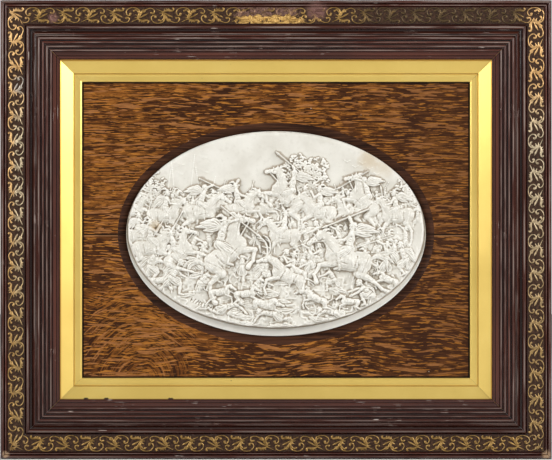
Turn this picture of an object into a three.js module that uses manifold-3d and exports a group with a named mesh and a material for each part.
// A framed oval relief: a cream casting of a hunt, set in two oak boards,
// with a gilt slip and a moulded frame that carries a band of gilt leaf scrolls.
//
// Plan shapes are drawn with X to the right, Y up and Z out from the wall, and the
// finished group is stood up, so in the part's own frame Z is up and the front faces -Y.
// The origin is the middle of the flat back.

import * as THREE from 'three';
import { mergeVertices } from 'three/addons/utils/BufferGeometryUtils.js';
import Module from 'manifold-3d';

const wasm = await Module();
wasm.setup();

// Driving dimensions, in millimetres.
const FRAME_WIDTH = 610;
const FRAME_HEIGHT = 508;
const GAP = 0.3; // clearance between neighbouring pieces
const MITRE_GAP = 0.24; // taken off each end, which leaves about GAP across the mitre

// The moulding, across its face from the outer edge (0) to the sight edge.
const MOULDING = 66;
const REBATE = 54; // outer edge to the wall of the rebate
const LIP_BACK = 27.3; // back of the lip that covers the slip, above the wall
const OUTER_EDGE = 31; // height of the frame's outer side
const SIGHT_EDGE = 30;
const EDGE_ROUND = 0.6;
const BAND_FROM = 8.3; // the channel for the scroll band
const BAND_TO = 26.7;
const BAND_SEAT = 32.3;
const BAND_BASE = 1.0;
const SCROLL_RISE = 1.2;
const SCROLL_ROOT = 0.4; // the scrolls start this far down in the band's base

// Beads and reeds of the moulding: where each starts and ends, its foot and its crown.
const BEADS = [
  { from: 0.6, to: 4.2, foot: 31.6, crown: 33.4 },
  { from: 5.4, to: 7.4, foot: 31.8, crown: 32.8 },
  { from: BAND_TO + 1.9, to: 33.2, foot: 32.4, crown: 36 },
  { from: 34.2, to: 38.8, foot: 32.0, crown: 33.6 },
  { from: 40.6, to: 44.2, foot: 32.2, crown: 34.8 },
  { from: 45.2, to: 48.8, foot: 32.0, crown: 34.2 },
  { from: 50.6, to: 53.8, foot: 31.2, crown: 33.2 },
  { from: 54.6, to: 59.0, foot: 31.0, crown: 32.2 },
];
const BEAD_FACETS = 3;
const FLAT_FROM = 59.6; // the flat beside the sight edge
const FLAT_TO = 64.4;
const FLAT_HEIGHT = 30.8;

// The gilt slip: a bevel that falls inward, a step and a narrow fillet.
const SLIP_SIGHT = 90; // outer edge of the frame to the slip's sight edge
const SLIP_BACK = 15.6;
const FILLET_WIDTH = 8.3;
const FILLET_HEIGHT = 18.6;
const BEVEL_FOOT = 19.8;
const BEVEL_WIDTH = 15;
const BEVEL_HEAD = 25.8;
const STEP = 0.7;

// The oak boards and the backboard behind them.
const BOARD_THICKNESS = 10;
const BACKBOARD = 5;
const SEAM_Y = -6.7; // height of the joint between the two boards

// The oval: the casting's outline, the carved field inside it, and the boards' opening.
const OVAL_Y = -4.8; // the oval sits a little below the middle of the frame
const OVAL = { a: 166.6, b: 113.9 };
const FIELD = { a: 164.5, b: 108.7, rise: 4.4 };
const CHAMFER = 8.8;
const CHAMFER_FOOT = 8.5;
const OVAL_SIDES = 48;
const FLANGE = 12;
const COVE = 10.8;
const FIELD_TOP = 13; // the field leans out from here at the top...
const FIELD_LEAN = 8; // ...by this much at the bottom
const HILL_RISE = 1.6;
const ROOT = 8; // how deep the figures are rooted in the casting
const ARCH = 0.55; // a limb's rise over its half width

// ---- Solids -------------------------------------------------------------------

/** A closed geometry as a solid that can be joined and cut. */
function solidOf(geometry) {
  const plain = geometry.clone();
  plain.deleteAttribute('normal');
  plain.deleteAttribute('uv');
  const merged = mergeVertices(plain, 1e-4);
  const mesh = new wasm.Mesh({
    numProp: 3,
    vertProperties: merged.attributes.position.array,
    triVerts: new Uint32Array(merged.index.array),
  });
  return new wasm.Manifold(mesh);
}

/** The geometry of a finished solid. */
function geometryOf(solid) {
  const mesh = solid.getMesh();
  const geometry = new THREE.BufferGeometry();
  const corners = new THREE.BufferAttribute(mesh.vertProperties, 3);
  geometry.setAttribute('position', corners);
  geometry.setIndex(new THREE.BufferAttribute(mesh.triVerts, 1));
  geometry.computeVertexNormals();
  return geometry;
}

/** Moves every corner of a geometry to where the function puts it. */
function reshape(geometry, place) {
  const corners = geometry.attributes.position;
  const corner = new THREE.Vector3();
  for (let i = 0; i < corners.count; i++) {
    corner.fromBufferAttribute(corners, i);
    corners.setXYZ(i, ...place(corner));
  }
  return geometry;
}

/** A named piece in its finish. */
function piece(name, geometry, finish) {
  const mesh = new THREE.Mesh(geometry, finish);
  mesh.name = name;
  return mesh;
}

const mix = THREE.MathUtils.lerp;
const radians = THREE.MathUtils.degToRad;

// ---- Finishes -------------------------------------------------------------------

const stainedWood = new THREE.MeshStandardMaterial({ color: 0x46241a, roughness: 0.38 });
const gilding = new THREE.MeshStandardMaterial({ color: 0xd9b45c, roughness: 0.34, metalness: 0.85 });
const scrollGilding = new THREE.MeshStandardMaterial({ color: 0xb08a48, roughness: 0.45, metalness: 0.7 });
const oak = new THREE.MeshStandardMaterial({ color: 0x8a5a2c, roughness: 0.42 });
const plainWood = new THREE.MeshStandardMaterial({ color: 0x8c7556, roughness: 0.8 });
const cream = new THREE.MeshStandardMaterial({ color: 0xece7dc, roughness: 0.5 });

// ---- Frame, slip and scroll bands ---------------------------------------------------

/** One mitred side: a profile of (inset from the outer edge, height) run between its mitres. */
function mitredSide(profile, length, halfAcross) {
  const bar = new THREE.ExtrudeGeometry(new THREE.Shape(profile), { depth: 1, bevelEnabled: false });
  const halfLength = length / 2 - MITRE_GAP;
  return reshape(bar, ({ x, y, z }) => [(1 - 2 * z) * (halfLength - x), halfAcross - x, y]);
}

/** Four sides made by one function, turned into place round the frame. */
function fourSides(name, finish, make) {
  const group = new THREE.Group();
  ['top', 'left', 'bottom', 'right'].forEach((side, turns) => {
    const level = turns % 2 === 0;
    const length = level ? FRAME_WIDTH : FRAME_HEIGHT;
    const across = level ? FRAME_HEIGHT : FRAME_WIDTH;
    const mesh = piece(`${name}_${side}`, make(length, across / 2), finish);
    mesh.rotation.z = (turns * Math.PI) / 2;
    group.add(mesh);
  });
  return group;
}

/** Points over one bead, from its inner side to its outer side. */
function beadPoints({ from, to, foot, crown }) {
  const points = [];
  for (let i = 0; i <= BEAD_FACETS; i++) {
    const angle = (Math.PI * i) / BEAD_FACETS;
    const across = mix(to, from, (1 - Math.cos(angle)) / 2);
    points.push(new THREE.Vector2(across, mix(foot, crown, Math.sin(angle))));
  }
  return points;
}

function railProfile() {
  const at = (inset, height) => new THREE.Vector2(inset, height);
  const back = [at(0, 0), at(REBATE, 0), at(REBATE, LIP_BACK), at(MOULDING, LIP_BACK)];
  const sight = [
    at(MOULDING, SIGHT_EDGE - EDGE_ROUND),
    at(MOULDING - EDGE_ROUND, SIGHT_EDGE),
    at(FLAT_TO, SIGHT_EDGE),
    at(FLAT_TO, FLAT_HEIGHT),
    at(FLAT_FROM, FLAT_HEIGHT),
  ];
  const inner = BEADS.filter((bead) => bead.from > BAND_TO).reverse();
  const outer = BEADS.filter((bead) => bead.to < BAND_FROM).reverse();
  const channel = [at(BAND_TO, BAND_SEAT), at(BAND_FROM, BAND_SEAT)];
  return [
    ...back,
    ...sight,
    ...inner.flatMap(beadPoints),
    ...channel,
    ...outer.flatMap(beadPoints),
    at(0, OUTER_EDGE),
  ];
}

function slipProfile() {
  const at = (inset, height) => new THREE.Vector2(inset, height);
  const outer = REBATE + GAP;
  const fillet = SLIP_SIGHT - FILLET_WIDTH;
  const bevel = fillet - STEP;
  return [
    at(outer, SLIP_BACK),
    at(SLIP_SIGHT, SLIP_BACK),
    at(SLIP_SIGHT, FILLET_HEIGHT),
    at(fillet, FILLET_HEIGHT),
    at(fillet, FILLET_HEIGHT - STEP),
    at(bevel, FILLET_HEIGHT - STEP),
    at(bevel, BEVEL_FOOT),
    at(bevel - BEVEL_WIDTH, BEVEL_HEAD),
    at(outer, LIP_BACK - GAP),
  ];
}

// The running scroll: each half unit is a curl with a leaf, set one way and then the other.
const SCROLL_PITCH = 27.3;
const CURL = { out: 6, in: 3.2, slip: 1.3, from: -60, to: 190 };
const CURL_ACROSS = 2.2;
const LEAF = { along: 12, across: 5.4 };

/** A crescent that ends in a leaf, drawn for one half unit of the running scroll. */
function curlShape() {
  const from = radians(CURL.from);
  const to = radians(CURL.to);
  const outside = new THREE.EllipseCurve(0, 0, CURL.out, CURL.out, from, to);
  const inside = new THREE.EllipseCurve(CURL.slip, 0, CURL.in, CURL.in, to, from, true);
  const leafTip = new THREE.Vector2(-LEAF.along, -LEAF.across);
  return new THREE.Shape([...outside.getPoints(4), leafTip, ...inside.getPoints(3)]);
}

/** A flat mitred strip as wide as the band, between two heights. */
function bandStrip(low, high, length, halfAcross) {
  const strip = new THREE.Path();
  strip.moveTo(BAND_FROM + GAP, low);
  strip.lineTo(BAND_TO - GAP, low);
  strip.lineTo(BAND_TO - GAP, high);
  strip.lineTo(BAND_FROM + GAP, high);
  return solidOf(mitredSide(strip.getPoints(), length, halfAcross));
}

function scrollBand(length, halfAcross) {
  const foot = BAND_SEAT + GAP;
  const top = foot + BAND_BASE;
  let band = bandStrip(foot, top, length, halfAcross);
  const middle = (BAND_FROM + BAND_TO) / 2;
  const run = length - 2 * middle;
  const count = Math.floor(run / SCROLL_PITCH);
  const pitch = run / count;
  const options = { depth: SCROLL_RISE + SCROLL_ROOT, bevelEnabled: false };
  const curl = new THREE.ExtrudeGeometry(curlShape(), options);
  for (let i = 0; i < count; i++) {
    const way = i % 2 === 0 ? 1 : -1;
    const x = (i - (count - 1) / 2) * pitch;
    const turned = curl.clone().rotateZ(way > 0 ? 0 : Math.PI);
    turned.translate(x, halfAcross - middle - way * CURL_ACROSS, top - SCROLL_ROOT);
    band = band.add(solidOf(turned));
  }
  return geometryOf(band.intersect(bandStrip(foot, top + SCROLL_RISE, length, halfAcross)));
}

// ---- Oval shapes ----------------------------------------------------------------------

/**
 * A solid built of oval rings, from its back to its front. A ring has half axes a and b,
 * may sit higher by rise, and its height above the wall is a number or a function of y.
 */
function ovalStack(rings) {
  const heightAt = (ring, y) => (typeof ring.height === 'function' ? ring.height(y) : ring.height);
  const profile = rings.map((ring, i) => new THREE.Vector2(ring.a > 0 ? 1 : 0, i));
  const stack = new THREE.LatheGeometry(profile, OVAL_SIDES);
  return reshape(stack, (corner) => {
    const ring = rings[Math.round(corner.y)];
    const y = corner.z * ring.b + (ring.rise ?? 0);
    return [-corner.x * ring.a, y + OVAL_Y, heightAt(ring, y)];
  });
}

/** The ground of the relief leans out towards the bottom; y is measured from the oval's middle. */
function fieldHeight(y) {
  const fall = THREE.MathUtils.clamp((FIELD.rise + FIELD.b - y) / (2 * FIELD.b), 0, 1);
  return FIELD_TOP + FIELD_LEAN * fall ** 1.6;
}

function castingBody() {
  const foot = BACKBOARD + GAP;
  const field = (scale) => ({
    a: FIELD.a * scale,
    b: FIELD.b * scale,
    rise: FIELD.rise,
    height: fieldHeight,
  });
  return ovalStack([
    { a: 0, b: 0, height: foot },
    { ...OVAL, height: foot },
    { ...OVAL, height: FLANGE },
    { a: FIELD.a + 1, b: FIELD.b + 1, rise: FIELD.rise - 0.6, height: COVE },
    field(1),
    field(0.5),
    { a: 0, b: 0, rise: FIELD.rise, height: fieldHeight(FIELD.rise) },
  ]);
}

/** Cuts the oval opening, with its chamfer, and the half on the other side of the seam. */
function oakBoard(upper) {
  const halfWidth = FRAME_WIDTH / 2 - REBATE - GAP;
  const halfHeight = FRAME_HEIGHT / 2 - REBATE - GAP;
  const seam = SEAM_Y + (upper ? GAP / 2 : -GAP / 2);
  const [low, high] = upper ? [seam, halfHeight] : [-halfHeight, seam];
  const back = BACKBOARD + GAP;
  const front = back + BOARD_THICKNESS;
  const plank = new THREE.BoxGeometry(2 * halfWidth, high - low, BOARD_THICKNESS);
  plank.translate(0, (low + high) / 2, (back + front) / 2);
  const bore = { a: OVAL.a + GAP, b: OVAL.b + GAP };
  const slope = CHAMFER / (front - CHAMFER_FOOT);
  const reach = front + 1;
  const mouth = { a: bore.a + slope * (reach - CHAMFER_FOOT), b: bore.b + slope * (reach - CHAMFER_FOOT) };
  const opening = ovalStack([
    { a: 0, b: 0, height: back - 1 },
    { ...bore, height: back - 1 },
    { ...bore, height: CHAMFER_FOOT },
    { ...mouth, height: reach },
    { a: 0, b: 0, height: reach },
  ]);
  return geometryOf(solidOf(plank).subtract(solidOf(opening)));
}

function backboard() {
  const halfWidth = FRAME_WIDTH / 2 - REBATE - GAP;
  const halfHeight = FRAME_HEIGHT / 2 - REBATE - GAP;
  const board = new THREE.BoxGeometry(2 * halfWidth, 2 * halfHeight, BACKBOARD);
  return board.translate(0, 0, BACKBOARD / 2);
}

// ---- The hunt: proportions ---------------------------------------------------------------
// Animals are drawn facing +X with the withers 1 high, and men with a height of about 1.

const HORSE = {
  fore: [0.3, 0.33],
  hind: [0.24, 0.29, 0.36],
  length: 1,
  girth: 1,
  neck: 0.45,
  head: 0.3,
  jaw: 0.095,
  muzzle: 0.05,
  leg: 1,
};
const STAG = { ...HORSE, length: 0.95, girth: 0.86, neck: 0.42, head: 0.27, leg: 0.85 };
// Smaller animals, and those further back, have fewer bones to a leg.
const BEHIND = { ...HORSE, fore: [0.56], hind: [0.42, 0.44], nearOnly: true };
const HOUND = {
  ...HORSE,
  fore: [0.5],
  hind: [0.42, 0.4],
  length: 1.12,
  girth: 0.86,
  neck: 0.3,
};

// Each leg is a list of leans, in degrees forward of straight down, from hip to hoof.
const REAR = {
  pitch: 42,
  neck: 78,
  head: -12,
  legs: { nearFore: [92, -18], farFore: [62, -55], nearHind: [42, -42, 8], farHind: [22, -58, -4] },
};
const CHARGE = {
  pitch: 14,
  neck: 48,
  head: -42,
  legs: { nearFore: [85, 18], farFore: [66, -35], nearHind: [12, -62, -50], farHind: [30, -45, -28] },
};
const GALLOP = {
  pitch: 6,
  neck: 42,
  head: -38,
  legs: { nearFore: [62, -2], farFore: [48, -70], nearHind: [20, -52, -48], farHind: [38, -20, 0] },
};
const LEAP = {
  pitch: 24,
  neck: 40,
  head: -20,
  legs: { nearFore: [75, 5], farFore: [60, -20], nearHind: [-10, -70, -62], farHind: [5, -60, -50] },
};
const WALK = {
  pitch: 0,
  neck: 50,
  head: -50,
  legs: { nearFore: [30, 6], farFore: [-12, -14], nearHind: [20, -32, 2], farHind: [4, -42, -20] },
};

const RIDE_SPEAR = { lean: 14, arm: [150, 110], nearLeg: [55, -15], farLeg: [50, -10] };
const RIDE_BACK = { lean: -12, arm: [200, 150], nearLeg: [58, 0], farLeg: [50, -10] };
const RIDE = { lean: 8, arm: [40, 80], nearLeg: [52, -12], farLeg: [48, -12] };
const LUNGE = { lean: 28, arm: [70, 80], nearLeg: [62, -2], farLeg: [-40, -52] };
const RUN = { lean: 16, arm: [-40, 40], nearLeg: [50, -30], farLeg: [-25, -70] };
const CROUCH = { lean: 40, arm: [50, 60], nearLeg: [95, -25], farLeg: [-10, -95] };

// ---- The hunt: figures -------------------------------------------------------------------
// A figure is a list of limbs: a path through its joints, its half width at each of them,
// and how far it stands in front of the figure's middle.

/** The point a distance away from another, in a direction given in degrees. */
function ahead([x, y], length, degrees) {
  const angle = radians(degrees);
  return [x + length * Math.cos(angle), y + length * Math.sin(angle)];
}

function swung([x, y], [cx, cy], degrees) {
  const reach = Math.hypot(x - cx, y - cy);
  const bearing = THREE.MathUtils.radToDeg(Math.atan2(y - cy, x - cx));
  return ahead([cx, cy], reach, bearing + degrees);
}

/** A leg or an arm, from its bones' lengths and how far each leans forward of straight down. */
function jointed(start, lengths, leans, width, depth) {
  const path = [start];
  lengths.forEach((length, i) => path.push(ahead(path[i], length, leans[i] - 90)));
  return { path, width, depth };
}

/** A swept strip such as a cloak, a tail or an antler. */
function swept(start, length, degrees, bend, width, depth = 0) {
  const middle = ahead(start, length / 2, degrees);
  const end = ahead(middle, length / 2, degrees + bend);
  return { path: [start, middle, end], width: [width * 0.5, width, width * 0.6], depth };
}

/**
 * A horse, a stag or a hound, in its own units. One sweep runs from the muzzle over the neck
 * and the trunk and on down the near hind leg; the other legs are set beside it.
 */
function animal(kind, pose) {
  const hip = [-0.38 * kind.length, 0.76];
  const on = (x, y) => swung([x * kind.length, 0.76 + (y - 0.76) * kind.girth], hip, pose.pitch);
  const broad = (widths) => widths.map((width) => width * kind.girth);
  const slim = (widths) => widths.map((width) => width * kind.leg);
  const { nearFore, farFore, nearHind, farHind } = pose.legs;
  const foreleg = (leans, depth) =>
    jointed(on(0.2, 0.62), kind.fore, leans, slim([0.09, 0.055, 0.045]), depth);
  const hindleg = (leans, depth) =>
    jointed(hip, kind.hind, leans, slim([0.15, 0.1, 0.055, 0.045]), depth);
  const crown = ahead(on(0.28, 0.84), kind.neck, pose.neck);
  const haunch = hindleg(nearHind, 0);
  const sweep = {
    path: [ahead(crown, kind.head, pose.head), crown, on(0.24, 0.78), on(-0.08, 0.76), ...haunch.path],
    width: [kind.muzzle, kind.jaw, ...broad([0.21, 0.195, 0.185]), ...haunch.width.slice(1)],
    depth: 0.03,
    bold: true,
  };
  const farLegs = [foreleg(farFore, -0.12), hindleg(farHind, -0.12)];
  return {
    saddle: on(0.02, 0.98),
    crown,
    tail: on(-0.5, 0.86),
    limbs: [...(kind.nearOnly ? [] : farLegs), sweep, foreleg(nearFore, 0.1)],
  };
}

/** A man: one sweep from his head down to the near foot, with the far leg and an arm beside it. */
function man(pose, hip) {
  const up = 90 - pose.lean;
  const spine = (height) => ahead(hip, height, up);
  const stride = (leans, depth) => jointed(hip, [0.25, 0.27], leans, [0.09, 0.065, 0.045], depth);
  const near = stride(pose.nearLeg, 0);
  const sweep = {
    path: [spine(0.47), spine(0.37), spine(0.32), spine(0.25), ...near.path],
    width: [0.05, 0.065, 0.04, 0.11, ...near.width],
    depth: 0.06,
    bold: true,
  };
  return {
    far: [stride(pose.farLeg, -0.06)],
    near: [sweep, jointed(spine(0.28), [0.175, 0.2], pose.arm, [0.05, 0.045, 0.035], 0.1)],
  };
}

/** A mounted huntsman; one in front has a flying cloak and his horse a flying tail. */
function rider(pose, seat, kind = HORSE) {
  const horse = animal(kind, pose);
  const { far, near } = man(seat, horse.saddle);
  const seated = near.map((limb) => ({ ...limb, depth: limb.depth + 0.1 }));
  if (kind.nearOnly) return [...horse.limbs, seated[0]];
  const cloak = swept(ahead(horse.saddle, 0.26, 90 - seat.lean), 0.46, 160, 20, 0.12, 0.05);
  return [swept(horse.tail, 0.42, 165, 50, 0.075), ...far, ...horse.limbs, cloak, ...seated];
}

/** A huntsman on foot, set so that his lower foot stands on the ground. */
function walker(pose) {
  const reach = (leans) => 0.25 * Math.cos(radians(leans[0])) + 0.27 * Math.cos(radians(leans[1]));
  const hip = Math.max(reach(pose.nearLeg), reach(pose.farLeg)) + 0.03;
  const { far, near } = man(pose, [0, hip]);
  return [...far, ...near];
}

/** A stag with two antlers. */
function stag(pose) {
  const deer = animal(STAG, pose);
  const antlers = [95, 118].map((degrees) => swept(deer.crown, 0.46, degrees, -40, 0.035));
  return [...antlers, ...deer.limbs];
}

// ---- The hunt: modelling ------------------------------------------------------------------

/** A limb's cross-section: a bold one has upright sides under an arch, a slim one is a ridge. */
function limbSection(bold) {
  const section = new THREE.Shape();
  if (bold) {
    section.moveTo(-1, -1);
    section.lineTo(1, -1);
    section.lineTo(1, 0);
    section.lineTo(0.5, 0.87);
    section.lineTo(-0.5, 0.87);
    section.lineTo(-1, 0);
  } else {
    section.moveTo(-2, -1);
    section.lineTo(2, -1);
    section.lineTo(0, 1);
  }
  return section;
}

/** The direction of a path at one of its joints. */
function headingAt(path, i) {
  const before = path[Math.max(i - 1, 0)];
  const after = path[Math.min(i + 1, path.length - 1)];
  const here = path[i];
  const unit = (p, q) => new THREE.Vector2(q[0] - p[0], q[1] - p[1]).normalize();
  if (before === here) return unit(here, after);
  if (after === here) return unit(before, here);
  return unit(before, here).add(unit(here, after)).normalize();
}

/** Lays one limb of a figure on the field, at the figure's place, scale, facing and depth. */
function modelLimb(limb, { x, y, size, facing, depth }) {
  const path = limb.path.map(([px, py]) => [x + facing * size * px, y + size * py]);
  const spans = path.length - 1;
  const ground = fieldHeight(y + 0.3 * size) + depth + 0.6 * limb.depth * size;
  const options = { depth: spans, steps: spans, bevelEnabled: false };
  return reshape(new THREE.ExtrudeGeometry(limbSection(limb.bold), options), (corner) => {
    const joint = Math.round(corner.z);
    const heading = headingAt(path, joint);
    const width = limb.width[joint] * size;
    const across = corner.x * width;
    return [
      path[joint][0] - heading.y * across,
      path[joint][1] + heading.x * across + OVAL_Y,
      corner.y < 0 ? ROOT : ground + corner.y * width * ARCH,
    ];
  });
}

/** The head of a tree: a lobed mass, drawn in at its front. */
function canopy(x, y, halfWidth, halfHeight, rise) {
  const lobes = 6;
  const outline = [];
  for (let i = 0; i < 2 * lobes; i++) {
    const angle = (Math.PI * i) / lobes;
    const reach = i % 2 === 0 ? 1 : 0.78;
    outline.push(new THREE.Vector2(reach * Math.cos(angle), reach * Math.sin(angle)));
  }
  const mass = new THREE.ExtrudeGeometry(new THREE.Shape(outline), { depth: 1, bevelEnabled: false });
  return reshape(mass, (corner) => {
    const scale = mix(1, 0.72, corner.z);
    const cy = y + corner.y * halfHeight * scale;
    const height = corner.z === 0 ? ROOT : fieldHeight(cy) + rise;
    return [x + corner.x * halfWidth * scale, cy + OVAL_Y, height];
  });
}

/** A range of hills across the field, with its crest given by a formula. */
function hills(crest) {
  const outline = new THREE.Shape();
  outline.moveTo(-FIELD.a, -FIELD.b);
  outline.lineTo(FIELD.a, -FIELD.b);
  const steps = 9;
  for (let i = 0; i <= steps; i++) {
    const x = mix(FIELD.a, -FIELD.a, i / steps);
    outline.lineTo(x, crest(x));
  }
  const range = new THREE.ExtrudeGeometry(outline, { depth: 1, bevelEnabled: false });
  return reshape(range, ({ x, y, z }) => [x, y + OVAL_Y, z === 0 ? ROOT : fieldHeight(y) + HILL_RISE]);
}

/** A tree: a bent trunk under its head of leaves. */
function tree({ x, y, size, spread, depth }) {
  const trunk = jointed([0, 0], [0.45, 0.3], [188, 172], [0.09, 0.06, 0.04], 0);
  return [
    modelLimb(trunk, { x, y, size, facing: 1, depth }),
    canopy(x, y + 0.85 * size, 0.5 * size * spread, 0.3 * size, depth),
  ];
}

// Where everyone stands: x and y of the ground under the figure, from the oval's middle.
const TREES = [
  { x: -133, y: 0, size: 76, spread: 0.7, depth: 4 },
  { x: 30, y: 14, size: 72, spread: 1.3, depth: 4.5 },
  { x: 140, y: 6, size: 54, spread: 0.8, depth: 3.5 },
];
const MIDDLE = [
  { limbs: rider(WALK, RIDE, BEHIND), x: -118, y: -8, size: 38, facing: 1, depth: 4 },
  { limbs: rider(GALLOP, RIDE_SPEAR, BEHIND), x: -78, y: -6, size: 40, facing: 1, depth: 4 },
  { limbs: rider(CHARGE, RIDE_BACK, BEHIND), x: -34, y: -4, size: 38, facing: 1, depth: 4 },
  { limbs: rider(REAR, RIDE_BACK, BEHIND), x: 8, y: -2, size: 40, facing: -1, depth: 4 },
  { limbs: rider(GALLOP, RIDE, BEHIND), x: 44, y: -6, size: 38, facing: -1, depth: 4 },
  { limbs: rider(REAR, RIDE_SPEAR, BEHIND), x: 92, y: -4, size: 40, facing: -1, depth: 4 },
  { limbs: rider(WALK, RIDE, BEHIND), x: 130, y: -8, size: 38, facing: -1, depth: 4 },
];
const ON_FOOT = [
  { limbs: walker(LUNGE), x: -140, y: -26, size: 38, facing: 1, depth: 5 },
  { limbs: walker(RUN), x: -98, y: -21, size: 38, facing: 1, depth: 5 },
  { limbs: walker(LUNGE), x: 64, y: -28, size: 38, facing: -1, depth: 5 },
  { limbs: walker(RUN), x: 144, y: -26, size: 38, facing: -1, depth: 5 },
  { limbs: walker(RUN), x: -132, y: -50, size: 46, facing: 1, depth: 6 },
  { limbs: walker(LUNGE), x: -108, y: -80, size: 48, facing: 1, depth: 9 },
  { limbs: walker(CROUCH), x: 106, y: -82, size: 46, facing: -1, depth: 9 },
  { limbs: walker(RUN), x: 132, y: -50, size: 46, facing: -1, depth: 6 },
];
const FRONT = [
  { limbs: rider(REAR, RIDE_SPEAR), x: -50, y: -76, size: 56, facing: 1, depth: 8 },
  { limbs: rider(CHARGE, RIDE_BACK), x: 78, y: -74, size: 55, facing: -1, depth: 8 },
  { limbs: stag(LEAP), x: 12, y: -86, size: 44, facing: -1, depth: 8 },
  { limbs: animal(HOUND, GALLOP).limbs, x: -24, y: -90, size: 24, facing: 1, depth: 10 },
  { limbs: animal(HOUND, LEAP).limbs, x: 46, y: -94, size: 24, facing: -1, depth: 10 },
  { limbs: animal(HOUND, GALLOP).limbs, x: -78, y: -92, size: 24, facing: 1, depth: 9 },
];

function reliefCasting() {
  const scene = [
    hills((x) => 36 + 8 * Math.sin(x / 31 + 1) + 0.07 * x),
    ...TREES.flatMap(tree),
  ];
  for (const figure of [...MIDDLE, ...ON_FOOT, ...FRONT]) {
    scene.push(...figure.limbs.map((limb) => modelLimb(limb, figure)));
  }
  const carving = scene.map(solidOf).reduce((whole, mass) => whole.add(mass));
  const bounds = ovalStack([
    { a: 0, b: 0, height: 0 },
    { ...FIELD, height: 0 },
    { ...FIELD, height: 60 },
    { a: 0, b: 0, height: 60 },
  ]);
  return geometryOf(solidOf(castingBody()).add(carving.intersect(solidOf(bounds))));
}

// ---- The whole plaque ------------------------------------------------------------------------

const plaque = new THREE.Group();
plaque.add(
  fourSides('frame_rail', stainedWood, (length, half) => mitredSide(railProfile(), length, half)),
  fourSides('scroll_band', scrollGilding, scrollBand),
  fourSides('gilt_slip', gilding, (length, half) => mitredSide(slipProfile(), length, half)),
  piece('oak_board_upper', oakBoard(true), oak),
  piece('oak_board_lower', oakBoard(false), oak),
  piece('backboard', backboard(), plainWood),
  piece('relief_casting', reliefCasting(), cream),
);
plaque.rotation.x = Math.PI / 2;

const root = new THREE.Group();
root.add(plaque);
export default root;
